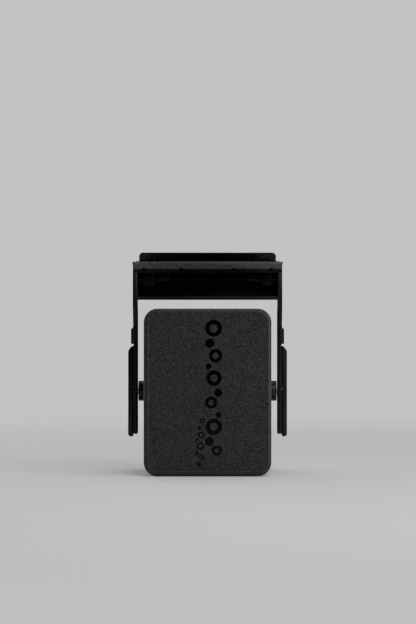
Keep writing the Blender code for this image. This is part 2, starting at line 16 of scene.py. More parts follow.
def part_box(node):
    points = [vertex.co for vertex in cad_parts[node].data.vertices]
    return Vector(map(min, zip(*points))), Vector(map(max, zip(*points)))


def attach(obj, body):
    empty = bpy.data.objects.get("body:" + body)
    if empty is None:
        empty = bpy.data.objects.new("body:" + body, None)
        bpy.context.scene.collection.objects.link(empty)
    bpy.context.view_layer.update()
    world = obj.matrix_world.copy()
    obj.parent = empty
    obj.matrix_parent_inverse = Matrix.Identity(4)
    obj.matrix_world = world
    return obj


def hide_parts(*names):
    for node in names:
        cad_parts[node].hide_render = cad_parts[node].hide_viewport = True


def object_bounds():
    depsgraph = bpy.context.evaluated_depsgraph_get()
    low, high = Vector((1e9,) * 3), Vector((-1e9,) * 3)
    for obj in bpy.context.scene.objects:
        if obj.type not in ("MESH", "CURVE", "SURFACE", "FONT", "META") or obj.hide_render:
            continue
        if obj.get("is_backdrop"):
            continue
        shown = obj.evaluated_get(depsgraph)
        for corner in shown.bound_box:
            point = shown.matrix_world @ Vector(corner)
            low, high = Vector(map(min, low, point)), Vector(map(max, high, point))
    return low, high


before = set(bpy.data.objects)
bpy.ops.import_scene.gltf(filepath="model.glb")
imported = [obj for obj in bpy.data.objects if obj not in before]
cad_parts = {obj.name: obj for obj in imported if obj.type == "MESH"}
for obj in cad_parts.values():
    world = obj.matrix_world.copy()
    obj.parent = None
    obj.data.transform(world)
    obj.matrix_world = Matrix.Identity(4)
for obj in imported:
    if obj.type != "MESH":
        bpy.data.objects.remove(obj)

CAD_LOW, CAD_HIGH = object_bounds()
MM = 0.001
print("packed model:", [round(x / MM, 1) for x in CAD_HIGH - CAD_LOW], "mm")

# %% [markdown]
# ## Wiring shader nodes with plain sums
# A finish is easier to read when its maths looks like maths. `Wire` stands for one output of a node,
# and a sum on wires adds a Math node. `Finish` owns the material, and its `node` method adds any
# other node from its type, its settings and the values or wires of its sockets.


# %% The Wire and Finish classes
class Wire:
    """One node output on which sums can be written."""

    def __init__(self, finish, socket):
        self.finish, self.socket = finish, socket

    def maths(self, operation, first, second):
        return self.finish.node("ShaderNodeMath", {"operation": operation}, {0: first, 1: second})

    def __add__(self, other):
        return self.maths("ADD", self, other)

    def __radd__(self, other):
        return self.maths("ADD", other, self)

    def __sub__(self, other):
        return self.maths("SUBTRACT", self, other)

    def __rsub__(self, other):
        return self.maths("SUBTRACT", other, self)

    def __mul__(self, other):
        return self.maths("MULTIPLY", self, other)

    def __rmul__(self, other):
        return self.maths("MULTIPLY", other, self)

    def __truediv__(self, other):
        return self.maths("DIVIDE", self, other)


class Finish:
    """A Principled material under construction."""

    def __init__(self, name, **values):
        self.material = bpy.data.materials.new(name)
        self.material.use_nodes = True
        self.tree = self.material.node_tree
        self.shader = self.tree.nodes["Principled BSDF"]
        for word, value in values.items():
            self.shader.inputs[word.replace("_", " ")].default_value = value

    def node(self, kind, settings=None, sockets=None, output=0):
        """Add a node: its settings first, then values or wires on its sockets."""
        made = self.tree.nodes.new(kind)
        for word, value in (settings or {}).items():
            setattr(made, word, value)
        for key, value in (sockets or {}).items():
            self.join(value, made.inputs[key])
        return Wire(self, made.outputs[output])

    def join(self, value, socket):
        if isinstance(value, Wire):
            self.tree.links.new(value.socket, socket)
        else:
            socket.default_value = value

    def feed(self, name, value):
        self.join(value, self.shader.inputs[name])

    def place(self):
        """Object coordinates, which stay on a piece when it moves."""
        return self.node("ShaderNodeTexCoord", output=3)

    def axes(self):
        """The three object coordinates, each on its own wire."""
        split = self.node("ShaderNodeSeparateXYZ", sockets={0: self.place()}).socket.node
        return [Wire(self, socket) for socket in split.outputs]

    def stretched(self, scale):
        """Object coordinates scaled differently along each axis."""
        return self.node("ShaderNodeMapping", sockets={"Vector": self.place(), "Scale": scale})

    def cloud(self, size, detail=2.0, rough=0.5, vector=None):
        """Noise from 0 to 1 with blobs of about the given size in metres."""
        sockets = {"Vector": vector or self.place(), "Scale": 1 / size, "Detail": detail,
                   "Roughness": rough}
        return self.node("ShaderNodeTexNoise", sockets=sockets)

    def cells(self, size, feature="F1", vector=None):
        """Distance from the middle of scattered cells of the given size in metres."""
        sockets = {"Vector": vector or self.place(), "Scale": 1 / size}
        return self.node("ShaderNodeTexVoronoi", {"feature": feature}, sockets)

    def step(self, value, low, high):
        """Rises smoothly from 0 at low to 1 at high."""
        settings = {"interpolation_type": "SMOOTHSTEP"}
        return self.node("ShaderNodeMapRange", settings, {0: value, 1: low, 2: high})

    def blend(self, factor, start, end):
        """A colour between two colours, as the factor goes from 0 to 1."""
        sockets = {"Factor": factor, 6: start, 7: end}
        return self.node("ShaderNodeMix", {"data_type": "RGBA"}, sockets, output=2)

    def bump(self, height, distance, normal=None):
        """A bump of the given depth in metres, on top of another where one is named."""
        sockets = {"Height": height, "Distance": distance}
        if normal:
            sockets["Normal"] = normal
        return self.node("ShaderNodeBump", sockets=sockets)


def tint(colour, factor=1.0):
    """A colour with alpha, made darker or lighter."""
    return (*(channel * factor for channel in colour), 1.0)


print("shader helpers ready")

# %% [markdown]
# ## Moulded plastics
# All the cases are black plastic from a spark-eroded mould, which leaves a fine even grain. The grain
# could be a normal map, but noise on Object coordinates needs no unwrapping, so each grain is a small
# bump with a change of tone. A wider, weaker cloud in roughness keeps large faces from looking dead
# flat, as real mouldings never are. A few pale specks stand for dust, which black plastic shows.


# %% Plastic finishes
DUST = (0.16, 0.165, 0.17, 1)


def moulded(name, colour, roughness, grain, depth, tone=0.3, dust=0.0, gloss=0.5, painted_shade=None):
    """Grained plastic: grain is the grain's size and depth its height, both in millimetres.

    tone is how far the grain's colour swings, and dust how strongly the pale specks show. The last
    argument may give a mask of painted shade: where it is 1 the plastic is smoother, and its colour
    is darkened to near black as painted shade for a recess.
    """
    plastic = Finish(name, Specular_IOR_Level=gloss)
    fine = plastic.cloud(grain * MM, detail=2.0, rough=0.6)
    broad = plastic.cloud(24 * MM, detail=3.0)
    level = plastic.step(fine, 0.40, 0.60) * 0.85 + broad * 0.15
    shade = plastic.blend(level, tint(colour, max(1 - tone, 0)), tint(colour, 1 + tone))
    rough = broad * 0.12 + fine * 0.08 + (roughness - 0.10)
    if painted_shade:
        # Painted shade: inside the mask the colour drops to a tenth of its own, as if the recess lay
        # in shadow; the lower roughness there is real.
        mask = painted_shade(plastic)
        shade = plastic.blend(mask, shade, tint(colour, 0.10))
        rough = rough - mask * 0.14
    if dust:
        specks = 1 - plastic.step(plastic.cells(3 * MM), 0.030, 0.085)
        patches = plastic.step(plastic.cloud(6 * MM, detail=1.0), 0.50, 0.60)
        shade = plastic.blend(specks * patches * dust, shade, DUST)
    plastic.feed("Base Color", shade)
    plastic.feed("Roughness", rough)
    plastic.feed("Normal", plastic.bump(fine, depth * MM))
    return plastic.material


def recess_shade_mask(plastic):
    """1 inside the yoke's recess, where the colour is darkened to near black as painted shade."""
    across, depth, height = plastic.axes()
    across = plastic.node("ShaderNodeMath", {"operation": "ABSOLUTE"}, {0: across})
    within = 1 - plastic.step(across, 46.0 * MM, 46.4 * MM)
    from_front, to_back = (7.0 * MM, 9.5 * MM), (16.0 * MM, 16.5 * MM)
    from_floor, to_lip = (60.5 * MM, 62.0 * MM), (77.0 * MM, 78.5 * MM)
    behind = plastic.step(depth, *from_front) * (1 - plastic.step(depth, *to_back))
    between = plastic.step(height, *from_floor) * (1 - plastic.step(height, *to_lip))
    return within * behind * between


PLASTICS = {
    "dry_case": moulded("dry_case_grain", (0.0142, 0.0144, 0.0152), 0.52, 0.75, 0.08,
                        tone=0.95, dust=0.6, gloss=0.35),
    "float_case": moulded("float_case_satin", (0.0110, 0.0110, 0.0118), 0.42, 1.0, 0.07,
                          tone=0.9, dust=0.4, gloss=0.35),
    "base": moulded("base_satin", (0.0075, 0.0075, 0.008), 0.45, 0.7, 0.04, gloss=0.35),
    # The yoke's colour is darkened inside its recess as painted shade.
    "yoke": moulded("yoke_satin", (0.0080, 0.0082, 0.0092), 0.38, 0.9, 0.04, tone=0.6,
                    dust=0.9, gloss=0.20, painted_shade=recess_shade_mask),
    "clip": moulded("clip_satin", (0.0050, 0.0050, 0.0055), 0.40, 1.0, 0.05, tone=0.6,
                    dust=0.25, gloss=0.30),
    "clamp": moulded("clamp_matt", (0.072, 0.072, 0.0745), 0.58, 0.9, 0.06, tone=0.35,
                     dust=0.5, gloss=0.35),
    "blade": moulded("blade_smooth", (0.0026, 0.0026, 0.0034), 0.26, 1.4, 0.008, tone=0.15,
                     dust=0.4, gloss=0.25),
    "cradle": moulded("cradle_matt", (0.06, 0.062, 0.065), 0.60, 0.8, 0.04),
    "bush": moulded("bush_acetal", (0.030, 0.030, 0.031), 0.38, 1.2, 0.01, tone=0.1),
    "ink": moulded("gloss_ink", (0.0010, 0.0010, 0.0016), 0.22, 1.6, 0.01, tone=0.2, gloss=0.15),
    "seal": moulded("seal_rubber", (0.008, 0.008, 0.008), 0.70, 0.9, 0.02),
}
print("plastics:", sorted(PLASTICS))

# %% [markdown]
# ## Felt, fibre, tape and metal
# Felt is a mat of fine crossed hairs. Modelling each hair would take millions of faces, so the mat's
# height comes from noise stretched two ways. The scrub pad is coarser and darker between its fibres.
# Both have a sheen, because loose hairs catch light at a low angle. The inner magnets and plates are
# seen only when the cleaner is taken apart, and they get plain rolled and ground metal.


# %% Fibre finishes
def fibre_mat(name, colour, hair, depth, sheen):
    """A mat of crossed hairs; hair is the width of one and depth its relief, in millimetres."""
    mat = Finish(name, Sheen_Weight=sheen, Sheen_Roughness=0.5, Specular_IOR_Level=0.2)
    lengthwise = mat.cloud(hair * MM, detail=3.0, vector=mat.stretched((1, 1, 0.14)))
    crosswise = mat.cloud(hair * MM, detail=3.0, vector=mat.stretched((0.14, 1, 1)))
    lumps = mat.cloud(hair * MM * 14, detail=2.0)
    height = lengthwise * 0.5 + crosswise * 0.5
    level = mat.step(height, 0.38, 0.64) * 0.75 + lumps * 0.25
    mat.feed("Base Color", mat.blend(level, tint(colour, 0.35), tint(colour, 1.7)))
    mat.feed("Roughness", 1 - lumps * 0.12)
    mat.feed("Normal", mat.bump(height + lumps * 0.6, depth * MM))
    return mat.material


FIBRES = {
    "felt": fibre_mat("black_felt", (0.020, 0.020, 0.022), 0.35, 0.4, 0.35),
    "felt_hair": fibre_mat("felt_hair", (0.035, 0.035, 0.038), 0.2, 0.1, 0.5),
    "scrub": fibre_mat("scrub_mat", (0.012, 0.012, 0.013), 0.7, 0.8, 0.15),
    "scrub_fibre": fibre_mat("scrub_fibre", (0.030, 0.031, 0.033), 0.3, 0.1, 0.2),
}
print("fibres:", sorted(FIBRES))


# %% Tape and metal finishes
def tape_finish():
    """Foam tape: dark grey, dull and slightly pitted on its cut edge."""
    tape = Finish("foam_tape", Specular_IOR_Level=0.3)
    pits = tape.cells(0.5 * MM)
    stain = tape.cloud(12 * MM)
    dark, light = (0.018, 0.0175, 0.016, 1), (0.042, 0.040, 0.037, 1)
    tape.feed("Base Color", tape.blend(pits * 0.8 + stain * 0.2, dark, light))
    tape.feed("Roughness", 0.95 - stain * 0.2)
    tape.feed("Normal", tape.bump(pits, 0.08 * MM))
    return tape.material


def metal_finish(name, colour, roughness, brush):
    """Drawn or rolled metal; brush is the width of the marks that run along X, in millimetres."""
    metal = Finish(name, Metallic=1.0)
    marks = metal.cloud(brush * MM, detail=4.0, vector=metal.stretched((0.04, 1, 1)))
    patches = metal.cloud(6 * MM, detail=3.0)
    worn = marks * 0.5 + patches * 0.5
    metal.feed("Base Color", metal.blend(worn, tint(colour, 0.72), tint(colour, 1.12)))
    metal.feed("Roughness", roughness + marks * 0.12 - patches * 0.05)
    metal.feed("Normal", metal.bump(marks, 0.012 * MM))
    return metal.material


METALS = {
    "zinc": metal_finish("zinc_plate", (0.58, 0.60, 0.62), 0.32, 0.4),
    "ferrite": metal_finish("ground_ferrite", (0.085, 0.083, 0.082), 0.55, 0.3),
    "pin": metal_finish("stainless_pin", (0.62, 0.62, 0.63), 0.22, 0.3),
}
TAPE = tape_finish()
print("metals:", sorted(METALS), "and", TAPE.name)

# %% [markdown]
# ## Modelling by hand, in code
# Edit mode works on what is selected. These helpers start a block between two corners, enter edit
# mode, and pick faces or edges by a test on their place, which is what a hand and a mouse would do.


# %% Modelling helpers
X, Y, Z = 0, 1, 2


def at_rest():
    """Leave edit mode and select nothing."""
    if bpy.context.mode != "OBJECT":
        bpy.ops.object.mode_set(mode="OBJECT")
    bpy.ops.object.select_all(action="DESELECT")


def activate(piece):
    """Make one object the only selected and the active one."""
    at_rest()
    piece.select_set(True)
    bpy.context.view_layer.objects.active = piece


def add_block(name, low, high):
    """A cube between two corners, with its size and place in its mesh."""
    at_rest()
    low, high = Vector(low), Vector(high)
    bpy.ops.mesh.primitive_cube_add(size=1, location=(low + high) / 2)
    piece = bpy.context.active_object
    piece.scale = high - low
    piece.name = piece.data.name = name
    bpy.ops.object.transform_apply(location=True, rotation=True, scale=True)
    return piece


def edit(piece):
    """Enter edit mode on a piece with nothing selected."""
    activate(piece)
    bpy.ops.object.mode_set(mode="EDIT")
    bpy.ops.mesh.select_all(action="DESELECT")


def pick(kind, test):
    """In edit mode, select only the faces, edges or corners that pass a test."""
    bpy.ops.mesh.select_mode(type=kind)
    bpy.ops.mesh.select_all(action="DESELECT")
    mesh = bmesh.from_edit_mesh(bpy.context.edit_object.data)
    items = {"FACE": mesh.faces, "EDGE": mesh.edges, "VERT": mesh.verts}[kind]
    chosen = [item for item in items if test(item)]
    for item in chosen:
        item.select_set(True)
    bmesh.update_edit_mesh(bpy.context.edit_object.data)
    return len(chosen)


def at_level(axis, level):
    """A test for faces and edges that lie at one level of an axis."""
    return lambda item: all(abs(corner.co[axis] - level) < 2e-6 for corner in item.verts)


def along(axis):
    """A test for edges that run along one axis."""
    others = [other for other in range(3) if other != axis]

    def test(edge):
        run = edge.verts[0].co - edge.verts[1].co
        return all(abs(run[other]) < 1e-7 for other in others)
    return test


def apply_all(piece):
    """Apply every modifier of a piece in turn."""
    activate(piece)
    for modifier in list(piece.modifiers):
        bpy.ops.object.modifier_apply(modifier=modifier.name)


def soften(piece, width, steps=3, angle=30):
    """Round every sharp edge of a piece."""
    bevel = piece.modifiers.new("soft_edges", "BEVEL")
    bevel.width, bevel.segments = width, steps
    bevel.limit_method, bevel.angle_limit = "ANGLE", math.radians(angle)
    bevel.use_clamp_overlap = True
    apply_all(piece)


def close_seams(piece):
    """Merge the doubled corners that a converted curve has along its caps."""
    edit(piece)
    bpy.ops.mesh.select_all(action="SELECT")
    bpy.ops.mesh.remove_doubles(threshold=0.001 * MM)
    bpy.ops.mesh.normals_make_consistent(inside=False)
    at_rest()


def hand_over(piece, material, body, slot, *nodes, angle=32):
    """Give a finished piece its material and its body, and hide the imported nodes it stands for;
    slot is not used.
    """
    activate(piece)
    bpy.ops.object.shade_smooth_by_angle(angle=math.radians(angle))
    piece.data.materials.clear()
    piece.data.materials.append(material)
    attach(piece, body)
    if nodes:
        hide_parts(*nodes)
    piece.data.calc_loop_triangles()
    print(f"{piece.name}: {len(piece.data.loop_triangles)} triangles on {body}")


print("modelling helpers ready")

# %% [markdown]
# ## The two cases
# Each case is a rounded block, hollow towards its pad. It could be a cube with a Bevel modifier, but
# the upright corners (9 mm) and the rim round the face (2.5 mm) have different radii, so they are
# bevelled one after the other. The face lies a hair below a thin border, which draws a fine line of
# light round it. Last the open side is inset by the wall and pushed in.

# %% Dry case and float case
CORNER = 9.0 * MM
RIM = 2.5 * MM
WALL = 2.5 * MM
BORDER = 0.45 * MM
BORDER_STEP = 0.22 * MM
MOUTH = 0.35 * MM


def round_block(name, low, high, corner, steps=14):
    """A block with its four edges along Y rounded."""
    piece = add_block(name, low, high)
    edit(piece)
    pick("EDGE", along(Y))
    bpy.ops.mesh.bevel(offset=corner, segments=steps, profile=0.5, affect="EDGES")
    return piece


def case(name, node, face_y, open_y):
    """A hollow case whose closed face is at face_y and whose mouth is at open_y."""
    piece = round_block(name, *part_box(node), CORNER)
    outwards = math.copysign(1, face_y - open_y)
    pick("EDGE", at_level(Y, face_y))
    bpy.ops.mesh.bevel(offset=RIM, segments=7, profile=0.5, affect="EDGES")
    pick("FACE", at_level(Y, face_y))
    bpy.ops.mesh.inset(thickness=BORDER)
    bpy.ops.mesh.inset(thickness=BORDER * 0.7, depth=-BORDER_STEP)
    pick("FACE", at_level(Y, open_y))
    bpy.ops.mesh.inset(thickness=WALL)
    depth = face_y - open_y - outwards * WALL
    bpy.ops.mesh.extrude_region_move(TRANSFORM_OT_translate={"value": (0, depth, 0)})
    pick("EDGE", at_level(Y, open_y))
    bpy.ops.mesh.bevel(offset=MOUTH, segments=2, profile=0.5, affect="EDGES")
    at_rest()
    return piece


dry_low, dry_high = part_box("dry_shell")
dry_case = case("dry_case", "dry_shell", dry_low.y, dry_high.y)
wet_low, wet_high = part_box("wet_shell")
float_case = case("float_case", "wet_shell", wet_high.y, wet_low.y)
hand_over(dry_case, PLASTICS["dry_case"], "dry_half", "dry_case_plastic", "dry_shell")
hand_over(float_case, PLASTICS["float_case"], "wet_half", "float_case_plastic", "wet_shell")

# %% [markdown]
# ## The base plates
# A base plate closes each case. Only its edge shows, as a second band with a fine joint line, so it
# is a round block with small rounded rims and a locating ring on its inner side.


# %% Base plates
PLATE_RIM = 0.6 * MM
JOINT = 0.35 * MM
RING_IN, RING_WIDE, RING_TALL = 4.0 * MM, 1.6 * MM, 2.0 * MM


def base_plate(name, node, pad_y, inner_y):
    """The plate between a case and its pad; the ring on its inner side fits inside the case."""
    low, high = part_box(node)
    rise = Vector((0, math.copysign(RING_TALL, inner_y - pad_y), 0))
    plate_y = inner_y - rise.y
    low.y, high.y = sorted((pad_y, plate_y))
    piece = round_block(name, low, high, CORNER)
    pick("EDGE", at_level(Y, pad_y))
    bpy.ops.mesh.bevel(offset=PLATE_RIM, segments=4, profile=0.5, affect="EDGES")
    pick("FACE", at_level(Y, plate_y))
    bpy.ops.mesh.inset(thickness=JOINT)
    bpy.ops.mesh.inset(thickness=RING_IN)
    bpy.ops.mesh.extrude_region_move(TRANSFORM_OT_translate={"value": rise})
    bpy.ops.mesh.inset(thickness=RING_WIDE)
    bpy.ops.mesh.extrude_region_move(TRANSFORM_OT_translate={"value": -rise})
    at_rest()
    return piece


for half in ("dry", "wet"):
    plate_low, plate_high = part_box(f"{half}_base_plate")
    ends = (plate_high.y, plate_low.y) if half == "dry" else (plate_low.y, plate_high.y)
    plate = base_plate(f"{half}_base", f"{half}_base_plate", *ends)
    hand_over(plate, PLASTICS["base"], f"{half}_half", "base_plastic", f"{half}_base_plate")

# %% [markdown]
# ## The bubble print
# The face carries a print in gloss black ink on the grained plastic: a stream of bubbles that rises
# up the case, with a finer stream beside it. It could be a mask in the material, but real ink stands
# on the face as a thin layer. The circles are outlines in one flat filled curve, so that rings get
# their holes. The curve is given the thickness of ink and made a mesh.

# %% Print on the dry case
INK = 0.03 * MM
FACE_Y = dry_low.y + BORDER_STEP
# Each bubble: middle across, middle up, radius and stroke, all in millimetres; no stroke is a disc
BIG_BUBBLES = (
    (3.9, 41.2, 5.4, 2.7), (1.5, 31.6, 3.0, 0), (5.2, 23.6, 4.3, 2.2), (0.6, 16.8, 1.9, 0),
    (4.2, 9.2, 5.0, 2.6), (6.9, -0.2, 2.5, 0), (2.3, -6.6, 3.9, 2.1), (7.0, -14.2, 1.8, 0),
    (4.0, -22.2, 5.3, 2.7), (1.2, -31.6, 2.9, 0), (6.0, -37.4, 3.4, 1.9),
)
SMALL_BUBBLES = (
    (-3.4, -18.2, 1.7, 0.9), (-5.2, -22.8, 1.1, 0), (-4.0, -27.4, 2.1, 1.1), (-6.9, -30.4, 0.9, 0),
    (-4.6, -34.6, 2.5, 1.2), (-6.9, -39.2, 1.2, 0), (-3.8, -41.8, 1.6, 0.9), (-5.6, -46.2, 1.5, 0),
)


def add_circle(curve, x, z, radius, corners=48):
    spline = curve.splines.new("POLY")
    spline.points.add(corners - 1)
    for number, point in enumerate(spline.points):
        turn = 2 * math.pi * number / corners
        point.co = ((x + radius * math.cos(turn)) * MM, (z + radius * math.sin(turn)) * MM, 0, 1)
    spline.use_cyclic_u = True


at_rest()
ink_curve = bpy.data.curves.new("bubble_print", "CURVE")
ink_curve.dimensions, ink_curve.fill_mode, ink_curve.extrude = "2D", "BOTH", INK
for x, z, radius, stroke in BIG_BUBBLES + SMALL_BUBBLES:
    add_circle(ink_curve, x, z, radius)
    if stroke:
        add_circle(ink_curve, x, z, radius - stroke)
bubble_print = bpy.data.objects.new("bubble_print", ink_curve)
bpy.context.scene.collection.objects.link(bubble_print)
bubble_print.rotation_euler = (math.radians(90), 0, 0)
bubble_print.location = (0, FACE_Y - INK / 2, 0)
activate(bubble_print)
bpy.ops.object.convert(target="MESH")
bpy.ops.object.transform_apply(location=True, rotation=True, scale=True)
close_seams(bubble_print)
hand_over(bubble_print, PLASTICS["ink"], "dry_half", "dry_case_plastic")

# %% [markdown]
# ## The pad tapes
# Double-sided foam tape sticks each pad to its base plate. It is punched out of a sheet and pressed
# thin, so it is a slab with round corners and pinched rims that fills the space up to the plate.

# %% Pad tapes
SQUEEZE = 0.05 * MM
TAPE_CORNER, TAPE_PINCH = 5.3 * MM, 0.15 * MM
for half in ("dry", "wet"):
    low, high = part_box(f"{half}_pad_tape")
    plate_low, plate_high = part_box(f"{half}_base_plate")
    if half == "wet":
        high.y = plate_low.y - SQUEEZE
    else:
        low.y = plate_high.y + SQUEEZE
    tape = round_block(f"{half}_tape", low, high, TAPE_CORNER, steps=10)
    for level in (low.y, high.y):
        pick("EDGE", at_level(Y, level))
        bpy.ops.mesh.bevel(offset=TAPE_PINCH, segments=2, profile=0.5, affect="EDGES")
    at_rest()
    hand_over(tape, TAPE, f"{half}_half", "pad_tape", f"{half}_pad_tape")

# %% [markdown]
# ## The pads
# Both pads are soft and cut with a knife, so their edges are nearly square and their faces uneven.
# They are flat and dense, without seams or filling, so there is nothing for a cloth simulation to
# do. A block is rounded in plan, remeshed into small even squares and roughened by noise along its
# normals, less so where the tape holds it flat.

# %% Pad bodies
GLUE = 0.02 * MM
PAD_CORNER, PAD_RIM, PAD_SQUARE = 6.5 * MM, 0.5 * MM, 0.75 * MM


def uneven_pad(name, half, node, set_back, lump, rough):
    """A remeshed pad, flat where it is stuck to its tape; set_back leaves room for fibres."""
    low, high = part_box(node)
    tape_low, tape_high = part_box(f"{half}_pad_tape")
    margin = Vector((set_back, set_back, set_back))
    low, high = low + margin, high - margin
    tape_side = 1 if half == "wet" else -1
    if half == "wet":
        high.y = tape_low.y - GLUE
    else:
        low.y = tape_high.y + GLUE
    piece = round_block(name, low, high, PAD_CORNER - set_back, steps=10)
    pick("EDGE", lambda edge: at_level(Y, low.y)(edge) or at_level(Y, high.y)(edge))
    bpy.ops.mesh.bevel(offset=PAD_RIM, segments=3, profile=0.5, affect="EDGES")
    at_rest()
    remesh = piece.modifiers.new("even_squares", "REMESH")
    remesh.mode, remesh.voxel_size = "VOXEL", PAD_SQUARE
    apply_all(piece)
    offsets = []
    for corner in piece.data.vertices:
        broad = noise.noise(corner.co / (lump * 4))
        fine = noise.noise(corner.co / lump)
        loose = min(1, max(0, 1.2 - corner.normal.y * tape_side))
        offsets.append(corner.normal * (rough * loose * (0.45 * broad + 0.55 * fine)))
    for corner, offset in zip(piece.data.vertices, offsets):
        corner.co += offset
    return piece


felt_pad = uneven_pad("felt_pad", "dry", "dry_felt_pad", 0.25 * MM, 1.6 * MM, 0.20 * MM)
hand_over(felt_pad, FIBRES["felt"], "dry_half", "felt", "dry_felt_pad", angle=80)
scrub_pad = uneven_pad("scrub_pad", "wet", "wet_scrub_pad", 0.45 * MM, 1.5 * MM, 0.45 * MM)
hand_over(scrub_pad, FIBRES["scrub"], "wet_half", "scrub_fibre", "wet_scrub_pad", angle=80)

# %% [markdown]
# ## Loose fibres
# Fibres that stick out break up a pad's outline, which bump alone can't do. A hair system would be
# the quick way, but hair isn't a mesh, so each fibre is a thin bent tube made from a curve. `PadBed`
# knows where fibres may start on one pad: on its working face or on the band round its edge.


# %% The bed of a pad
class PadBed:
    """The room for loose fibres of one thickness on one pad."""

    def __init__(self, node, thick, seed):
        self.low, self.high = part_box(node)
        self.thick = thick
        self.draw = random.Random(seed)
        wet = node.startswith("wet")
        self.face_y = self.low.y if wet else self.high.y
        self.inwards = 1 if wet else -1
        self.middle = (self.low + self.high) / 2
        self.half = (self.high - self.low) / 2 - Vector((thick, thick, thick))

    def on_edge(self, angle):
        """Start, run and bow of a fibre on the band round the pad."""
        depth = self.draw.uniform(0.15, 0.92) * (self.high.y - self.low.y)
        on_long_side = self.draw.random() < self.half.x / (self.half.x + self.half.z)
        side = self.draw.choice((-1, 1))
        slant = 0.35 * math.sin(angle)
        if on_long_side:
            x = self.draw.uniform(-1, 1) * (self.half.x - 7 * MM)
            z = side * (self.half.z - self.thick)
            run, bow = Vector((1, slant, 0)), Vector((0, 0, -side))
        else:
            z = self.draw.uniform(-1, 1) * (self.half.z - 7 * MM)
            x = side * (self.half.x - self.thick)
            run, bow = Vector((0, slant, 1)), Vector((-side, 0, 0))
        y = self.face_y + self.inwards * depth
        return Vector((self.middle.x + x, y, self.middle.z + z)), run, bow

    def on_face(self, angle):
        """Start, run and bow of a fibre on the working face."""
        x = self.draw.uniform(-1, 1) * (self.half.x - 3 * MM)
        z = self.draw.uniform(-1, 1) * (self.half.z - 3 * MM)
        y = self.face_y + self.inwards * self.thick
        start = Vector((self.middle.x + x, y, self.middle.z + z))
        return start, Vector((math.cos(angle), 0, math.sin(angle))), Vector((0, self.inwards, 0))

    def held(self, place):
        """A place moved back inside the room of the pad."""
        low, high = self.middle - self.half, self.middle + self.half
        return Vector([min(max(place[axis], low[axis]), high[axis]) for axis in (X, Y, Z)])


print("fibre bed ready")


# %% Loose fibres of the pads
BENDS = 6


def bent_fibre(bed, length):
    """The points of one fibre, curled sideways, with both of its ends pressed into the pad."""
    on_edge = bed.draw.random() < 0.35
    angle = bed.draw.uniform(0, 2 * math.pi)
    start, run, bow = bed.on_edge(angle) if on_edge else bed.on_face(angle)
    sideways = run.cross(bow)
    curl = bed.draw.uniform(-0.35, 0.35) * length
    size = bed.draw.uniform(0.6, 1.2) * length
    points = []
    for number in range(BENDS + 1):
        share = number / BENDS - 0.5
        place = start + run * (share * size) + sideways * (curl * share * share * 4)
        points.append(bed.held(place + bow * (bed.thick * 3.2 * (2 * share) ** 2)))
    return points


def loose_fibres(name, bed, count, length):
    """Bent fibres lying on the working face and round the edge of a pad."""
    curve = bpy.data.curves.new(name, "CURVE")
    curve.dimensions, curve.bevel_depth, curve.bevel_resolution = "3D", bed.thick / 2, 0
    curve.use_fill_caps = True
    for _ in range(count):
        spline = curve.splines.new("POLY")
        spline.points.add(BENDS)
        for point, place in zip(spline.points, bent_fibre(bed, length)):
            point.co = (*place, 1)
    piece = bpy.data.objects.new(name, curve)
    bpy.context.scene.collection.objects.link(piece)
    activate(piece)
    bpy.ops.object.convert(target="MESH")
    close_seams(piece)
    return piece


felt_bed = PadBed("dry_felt_pad", 0.07 * MM, seed=11)
felt_fibres = loose_fibres("felt_fibres", felt_bed, 1500, 3.0 * MM)
hand_over(felt_fibres, FIBRES["felt_hair"], "dry_half", "felt", angle=60)
scrub_bed = PadBed("wet_scrub_pad", 0.16 * MM, seed=12)
scrub_fibres = loose_fibres("scrub_fibres", scrub_bed, 1900, 4.2 * MM)
hand_over(scrub_fibres, FIBRES["scrub_fibre"], "wet_half", "scrub_fibre", angle=60)

# %% [markdown]
# ## Drawing a profile and pushing it
# The yoke, its clips, the clamp and the blade are long mouldings of an even section. By hand one
# would draw the section corner by corner with extruded points, fill it and extrude it once. This
# helper does the same: it collapses a small plane to one point, extrudes that point along the
# outline, fills the loop and pushes the face.


# %% Profile, cut and union helpers
def drawn(name, outline, push):
    """A solid whose section is drawn through 3-D points and then pushed by a vector."""
    at_rest()
    points = [Vector(point) for point in outline]
    bpy.ops.mesh.primitive_plane_add(size=1 * MM, location=points[0])
    piece = bpy.context.active_object
    piece.name = piece.data.name = name
    bpy.ops.object.transform_apply(location=True, rotation=True, scale=True)
    bpy.ops.object.mode_set(mode="EDIT")
    bpy.ops.mesh.select_mode(type="VERT")
    bpy.ops.mesh.select_all(action="SELECT")
    bpy.ops.mesh.merge(type="CENTER")
    for before, after in zip(points, points[1:]):
        bpy.ops.mesh.extrude_region_move(TRANSFORM_OT_translate={"value": after - before})
    bpy.ops.mesh.select_all(action="SELECT")
    bpy.ops.mesh.edge_face_add()
    bpy.ops.mesh.extrude_region_move(TRANSFORM_OT_translate={"value": push})
    bpy.ops.mesh.select_all(action="SELECT")
    bpy.ops.mesh.normals_make_consistent(inside=False)
    at_rest()
    return piece


def round_post(name, radius, low, high, axis="Y", middle=(0, 0)):
    """A round post between two levels of one axis, as a cutter, a peg or a boss."""
    at_rest()
    turn = {"X": (0, math.radians(90), 0), "Y": (math.radians(90), 0, 0)}[axis]
    centre = (low + high) / 2
    place = (centre, *middle) if axis == "X" else (middle[0], centre, middle[1])
    bpy.ops.mesh.primitive_cylinder_add(
        vertices=40, radius=radius, depth=abs(high - low), location=place, rotation=turn)
    piece = bpy.context.active_object
    piece.name = piece.data.name = name
    bpy.ops.object.transform_apply(location=True, rotation=True, scale=True)
    return piece


def carve(piece, operation, tools):
    """Join tools to a piece or cut them away, one after the other, and remove them."""
    for tool in tools:
        step = piece.modifiers.new(tool.name, "BOOLEAN")
        step.operation, step.solver, step.object = operation, "EXACT", tool
    apply_all(piece)
    for tool in tools:
        bpy.data.objects.remove(tool, do_unlink=True)


print("profile tools ready")

